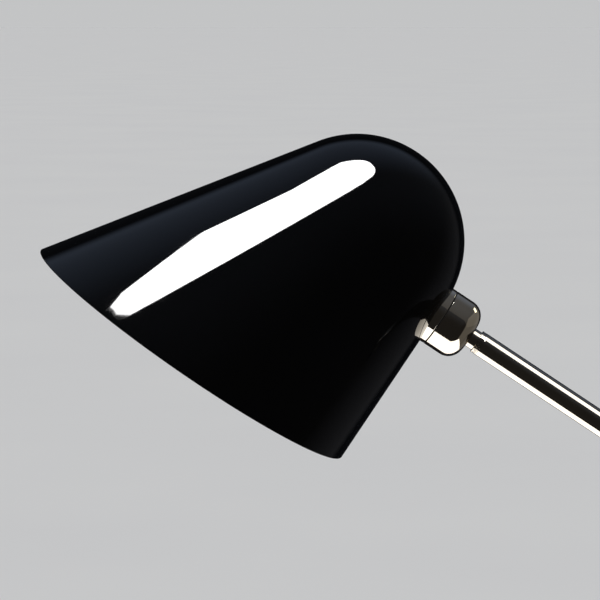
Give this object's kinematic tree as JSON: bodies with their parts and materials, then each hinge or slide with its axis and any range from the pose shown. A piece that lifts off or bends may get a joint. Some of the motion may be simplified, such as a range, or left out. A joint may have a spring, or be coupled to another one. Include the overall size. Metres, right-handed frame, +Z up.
{
  "type": "adjustable arm floor lamp",
  "caption": "Floor lamp with a round weighted base, slim column, tilting and turning tube arm, and a slant-cut spun cone shade on a turned swivel.",
  "frame": {"origin": "centre of the base's underside, on the column's axis, at floor level", "axes": "+Z up along the column; at rest the arm rises towards -X in the XZ plane and the shade's mouth faces down and towards -X; the tilt hinge runs along Y"},
  "size_m": [0.8179, 0.283, 1.5367],
  "materials": {
    "black_lacquer": "high-gloss black lacquer over spun metal, white enamel on the shade's inside",
    "polished_nickel": "polished nickel, slightly warm",
    "zinc_steel": "zinc-plated steel",
    "cast_iron": "raw cast iron",
    "felt": "dense black felt",
    "black_rubber": "moulded rubber",
    "cream_plastic": "moulded terminal block",
    "lead_sheath": "flexible sheath",
    "black_phenolic": "moulded phenolic",
    "brown_fibre": "vulcanised fibre",
    "dark_fibre": "dark fibre seam washer",
    "white_ceramic": "steatite",
    "brass": "plain brass",
    "bulb_cap_metal": "rolled screw cap",
    "white_plastic": "white bulb housing",
    "opal_glass": "opal glass, unlit"
  },
  "bodies": {
    "stand": {"base_felt": "felt", "base_plate": "zinc_steel", "base_screws": "zinc_steel", "base_weight": "cast_iron", "base_cover": "black_lacquer", "cord_grommet": "black_rubber", "terminal_block": "cream_plastic", "base_lead": "lead_sheath", "column_rod": "zinc_steel", "base_washer": "zinc_steel", "base_nut": "zinc_steel", "column_boss": "polished_nickel", "column_plug": "zinc_steel", "column_tube": "polished_nickel", "column_bush": "polished_nickel", "column_stop_pin": "zinc_steel", "column_lead": "lead_sheath", "switch_body": "black_phenolic", "switch_spring": "zinc_steel", "switch_bezel": "polished_nickel"},
    "foot_button": {"switch_button": "polished_nickel"},
    "yoke": {"yoke_stem": "polished_nickel", "stem_retainer": "zinc_steel", "yoke_fork": "polished_nickel", "tilt_bolt": "zinc_steel", "tilt_friction_discs": "brown_fibre", "tilt_spring_washer": "zinc_steel", "tilt_cap": "polished_nickel", "yoke_lead": "lead_sheath"},
    "knob": {"tilt_knob": "polished_nickel"},
    "arm": {"tilt_tongue": "polished_nickel", "arm_lower_collar": "polished_nickel", "arm_tube": "polished_nickel", "arm_upper_collar": "polished_nickel", "head_neck": "polished_nickel", "head_cup": "polished_nickel", "swivel_plate": "zinc_steel", "swivel_stop_pin": "zinc_steel", "arm_lead": "lead_sheath"},
    "head": {"seam_ring": "dark_fibre", "seat_ring": "polished_nickel", "swivel_nipple": "zinc_steel", "swivel_washer": "zinc_steel", "swivel_nut": "zinc_steel", "shade": "black_lacquer", "shade_saddle": "zinc_steel", "shade_nut": "zinc_steel", "holder_strap": "zinc_steel", "holder_nipple": "zinc_steel", "holder_nut": "zinc_steel", "holder_cap": "black_phenolic", "holder_body": "black_phenolic", "holder_core": "white_ceramic", "holder_shell": "brass", "holder_contact": "brass", "bulb_screw_cap": "bulb_cap_metal", "bulb_collar": "white_plastic", "bulb_globe": "opal_glass", "head_lead": "lead_sheath"}
  },
  "joints": [
    {"name": "column_swivel", "type": "hinge", "parent": "stand", "child": "yoke", "pos_m": [0, 0, 1.085], "axis": [0, 0, 1], "range_deg": [-165, 165]},
    {"name": "arm_tilt", "type": "hinge", "parent": "yoke", "child": "arm", "pos_m": [0, 0, 1.13], "axis": [0, 1, 0], "range_deg": [-50, 45]},
    {"name": "tilt_knob_turn", "type": "hinge", "parent": "yoke", "child": "knob", "pos_m": [0, -0.02, 1.13], "axis": [0, -1, 0], "range_deg": [-90, 90]},
    {"name": "head_rotate", "type": "hinge", "parent": "arm", "child": "head", "pos_m": [-0.46644, 0, 1.4399], "axis": [-0.8329, 0, 0.5534], "range_deg": [-165, 165]},
    {"name": "foot_switch", "type": "slide", "parent": "stand", "child": "foot_button", "axis": [0, 0, -1], "range_m": [0, 0.004], "stiffness_N_per_m": 800, "springref_m": -0.0015, "deforming": ["switch_spring"]}
  ]
}
